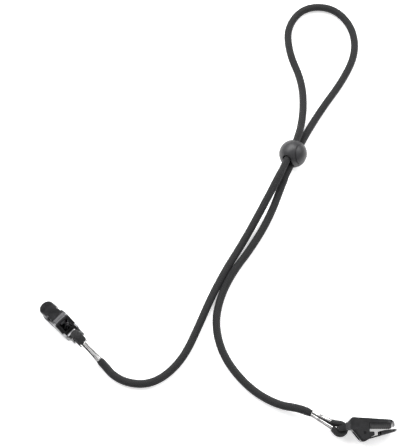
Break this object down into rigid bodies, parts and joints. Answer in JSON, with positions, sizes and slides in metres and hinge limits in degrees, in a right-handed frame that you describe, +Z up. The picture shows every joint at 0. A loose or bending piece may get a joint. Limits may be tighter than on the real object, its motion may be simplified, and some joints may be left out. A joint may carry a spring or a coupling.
{
  "type": "eyeglass retainer strap",
  "caption": "Braided cord eyeglass retainer with a push-button ball slider, crimped metal ferrules and sprung sheet-metal clips that grip the spectacle arms.",
  "frame": {"origin": "on the surface the strap lies on, under the centre of the box round everything but the cord itself", "axes": "+Z up, off the surface; +Y towards the neck loop, +X towards the clip that lies on its cheek"},
  "size_m": [0.1786, 0.2484, 0.015],
  "materials": {
    "cord": "braided polyester, matt",
    "ferrule": "bright nickel-plated, crimped",
    "clip_sheet": "black-plated spring steel, satin",
    "clip_pin": "dark plated, turned",
    "spring_steel": "drawn wire",
    "grip": "moulded, matt",
    "slider": "moulded, satin",
    "slider_button": "moulded, satin"
  },
  "bodies": {
    "strap": {"cord": "cord", "cord_end_left": "cord", "cord_end_right": "cord", "ferrule_left": "ferrule", "ferrule_right": "ferrule"},
    "slider": {"slider_shell": "slider", "slider_spring": "spring_steel"},
    "button": {"slider_button": "slider_button"},
    "clip_left": {"clip_left_body": "clip_sheet", "clip_left_pin": "clip_pin", "clip_left_spring": "spring_steel", "clip_left_upper_grip": "grip"},
    "jaw_left": {"clip_left_jaw": "clip_sheet", "clip_left_lower_grip": "grip"},
    "clip_right": {"clip_right_body": "clip_sheet", "clip_right_pin": "clip_pin", "clip_right_spring": "spring_steel", "clip_right_upper_grip": "grip"},
    "jaw_right": {"clip_right_jaw": "clip_sheet", "clip_right_lower_grip": "grip"}
  },
  "joints": [
    {"name": "slider_slide", "type": "slide", "parent": "strap", "child": "slider", "axis": [-0.4006, -0.8997, 0.1736], "range_m": [0, 0.006]},
    {"name": "button_press", "type": "slide", "parent": "slider", "child": "button", "axis": [-0.8122, 0.2609, -0.5219], "range_m": [0, 0.0016], "stiffness_N_per_m": 900, "springref_m": -0.003, "deforming": ["slider_spring"]},
    {"name": "clip_left_swing", "type": "hinge", "parent": "strap", "child": "clip_left", "pos_m": [-0.06885, -0.02865, 0.01027], "axis": [-0.6947, -0.7193, 0], "range_deg": [-60, 60]},
    {"name": "clip_right_swing", "type": "hinge", "parent": "strap", "child": "clip_right", "pos_m": [0.06105, -0.07356, 0.0048], "axis": [0, -0.1045, 0.9945], "range_deg": [-60, 60]},
    {"name": "jaw_left_open", "type": "hinge", "parent": "clip_left", "child": "jaw_left", "pos_m": [-0.07735, -0.02045, 0.00928], "axis": [0.6947, 0.7193, 0], "range_deg": [0, 20], "stiffness_Nm_per_rad": 0.06, "springref_deg": -51.57, "deforming": ["clip_left_spring"]},
    {"name": "jaw_right_open", "type": "hinge", "parent": "clip_right", "child": "jaw_right", "pos_m": [0.07275, -0.07545, 0.0046], "axis": [0, 0.1045, -0.9945], "range_deg": [0, 20], "stiffness_Nm_per_rad": 0.06, "springref_deg": -51.57, "deforming": ["clip_right_spring"]}
  ]
}
